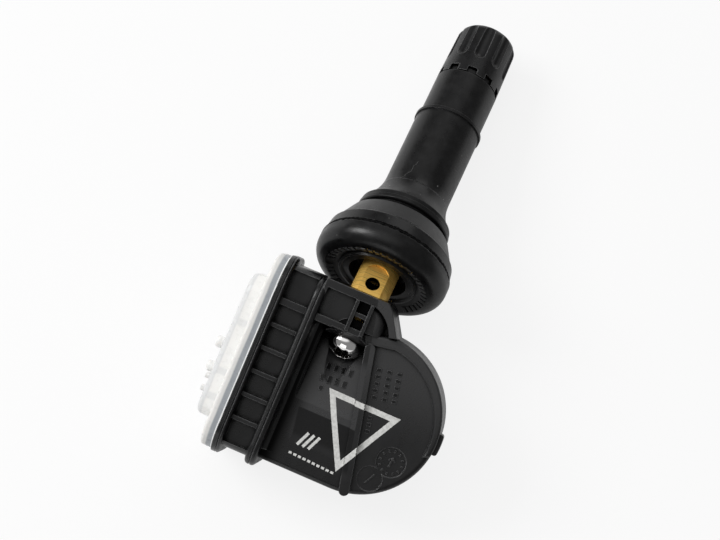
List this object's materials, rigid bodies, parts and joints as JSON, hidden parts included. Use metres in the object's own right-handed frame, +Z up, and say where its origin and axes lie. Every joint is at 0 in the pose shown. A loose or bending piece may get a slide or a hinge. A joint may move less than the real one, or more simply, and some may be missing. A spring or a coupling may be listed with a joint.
{
  "type": "tyre pressure sensor",
  "caption": "Snap-in tyre pressure sensor: a round black housing with a pale welded cover, screwed to the brass end of a rubber tyre valve with a fluted cap.",
  "frame": {"origin": "centre of the valve seat, on the stem axis where the rubber flange bears on the wheel rim", "axes": "+Z up as the part lies on a level surface; +Y from the housing towards the valve cap, the stem falling 11 degrees below it; +X from the pale cover towards the housing's round end"},
  "size_m": [0.0351, 0.0771, 0.0224],
  "materials": {
    "housing_plastic": "moulded, fine matt grain",
    "cover_plastic": "milky, slightly see-through",
    "valve_rubber": "moulded, half matt",
    "cap_plastic": "moulded, half matt",
    "turned_brass": "turned",
    "screw_steel": "bright plated",
    "cell_steel": "drawn nickel-plated steel",
    "strip_nickel": "rolled",
    "board_laminate": "green lacquer",
    "chip_plastic": "moulded",
    "ferrite": "fired",
    "crystal_can": "drawn",
    "ceramic": "fired",
    "aerial_copper": "tinned copper",
    "seal_rubber": "moulded",
    "spring_steel": "drawn wire"
  },
  "bodies": {
    "sensor": {"housing": "housing_plastic", "cover": "cover_plastic", "battery_cell": "cell_steel", "battery_strip_minus": "strip_nickel", "battery_strip_plus": "strip_nickel", "circuit_board": "board_laminate", "pressure_chip": "chip_plastic", "port_seal": "seal_rubber", "wake_coil": "ferrite", "radio_chip": "chip_plastic", "crystal": "crystal_can", "capacitors": "ceramic", "antenna_loop": "aerial_copper", "brass_insert": "turned_brass", "valve_rubber": "valve_rubber", "core_barrel": "turned_brass", "core_gasket": "seal_rubber", "core_spring": "spring_steel", "retaining_screw": "screw_steel"},
    "cap_lifter": {"cap_seal": "seal_rubber"},
    "cap": {"valve_cap": "cap_plastic"},
    "pin": {"core_pin": "turned_brass", "plunger_seal": "seal_rubber"}
  },
  "joints": [
    {"name": "cap_lift", "type": "slide", "parent": "sensor", "child": "cap_lifter", "axis": [0, 0.9816, -0.1909], "range_m": [0, 0.00596]},
    {"name": "cap_turn", "type": "hinge", "parent": "cap_lifter", "child": "cap", "pos_m": [0, 0.03436, -0.00668], "axis": [0, 0.9816, -0.1909], "range_deg": [0, 2700]},
    {"name": "pin_press", "type": "slide", "parent": "sensor", "child": "pin", "axis": [0, -0.9816, 0.1909], "range_m": [0, 0.0012], "stiffness_N_per_m": 1500, "springref_m": -0.002, "deforming": ["core_spring"]}
  ],
  "couplings": [
    {"joint": "cap_turn", "follows": "cap_lift", "rad_per_m": 7913.3}
  ]
}
